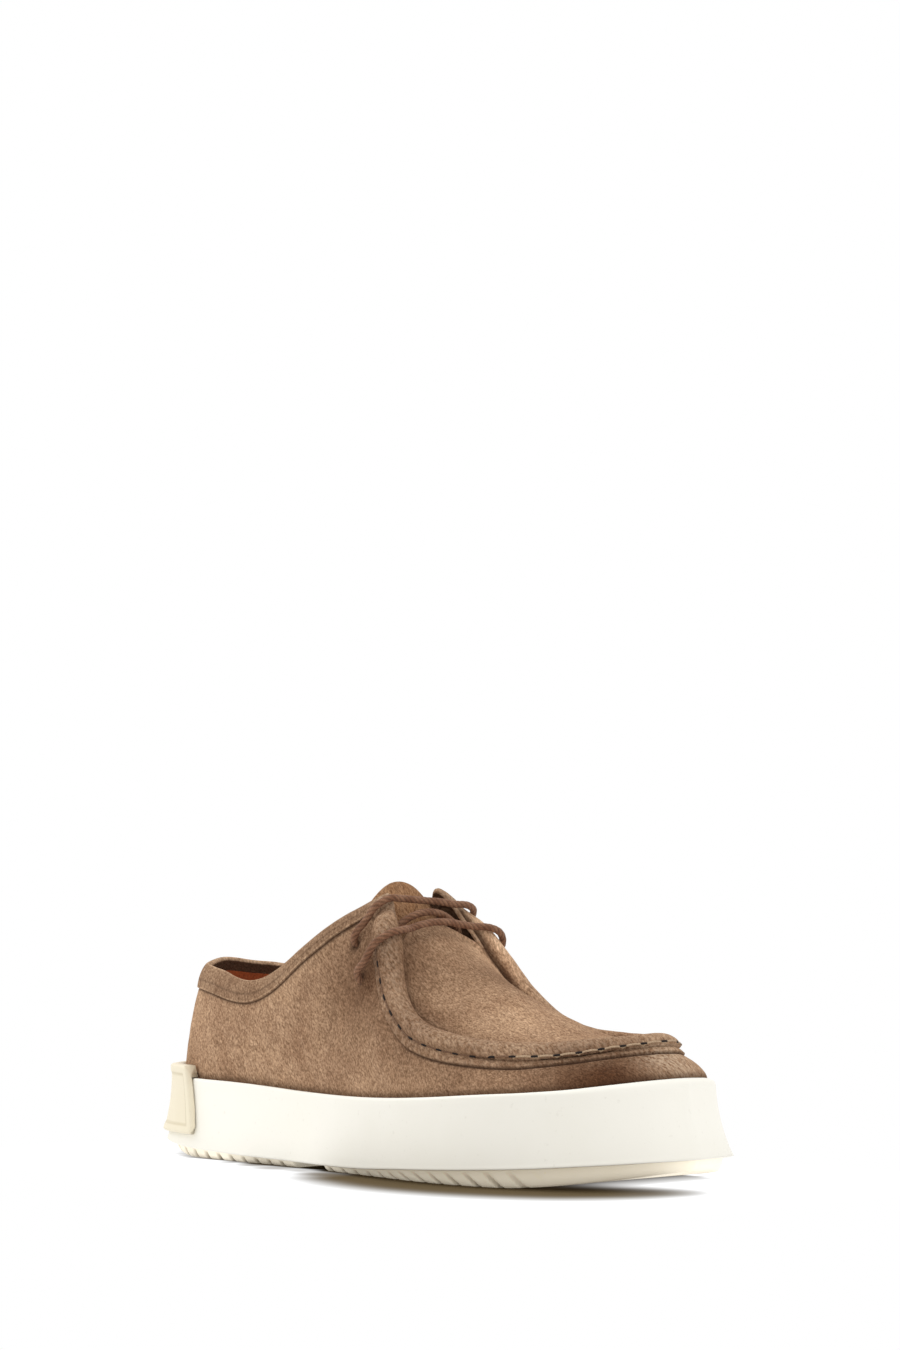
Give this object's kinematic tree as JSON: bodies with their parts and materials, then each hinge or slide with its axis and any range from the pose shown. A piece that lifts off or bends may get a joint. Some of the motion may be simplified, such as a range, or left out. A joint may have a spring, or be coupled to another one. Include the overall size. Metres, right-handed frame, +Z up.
{
  "type": "lace-up moccasin shoe",
  "caption": "Low lace-up suede moccasin for the right foot: raised rolled seam round the plug, round lace, thick white cup sole flared at the toe, beige treads and a cream heel tab.",
  "frame": {"origin": "middle of the footprint of the whole shoe, on the floor it stands on", "axes": "+X towards the toe, +Y towards the wearer's left, the inner side of this right shoe, +Z up"},
  "size_m": [0.3072, 0.115, 0.1217],
  "materials": {
    "suede": "brushed nap, matt",
    "tongue_suede": "brushed nap, matt",
    "white_rubber": "smooth, half matt",
    "tread_rubber": "matt",
    "cream_rubber": "moulded, half matt",
    "footbed": "smooth lining leather",
    "cord": "waxed round cord"
  },
  "bodies": {
    "root": {"upper": "suede", "tongue": "tongue_suede", "cupsole": "white_rubber", "tread_forefoot": "tread_rubber", "tread_heel": "tread_rubber", "heel_tab": "cream_rubber", "insole": "footbed", "lace": "cord"}
  },
  "joints": []
}
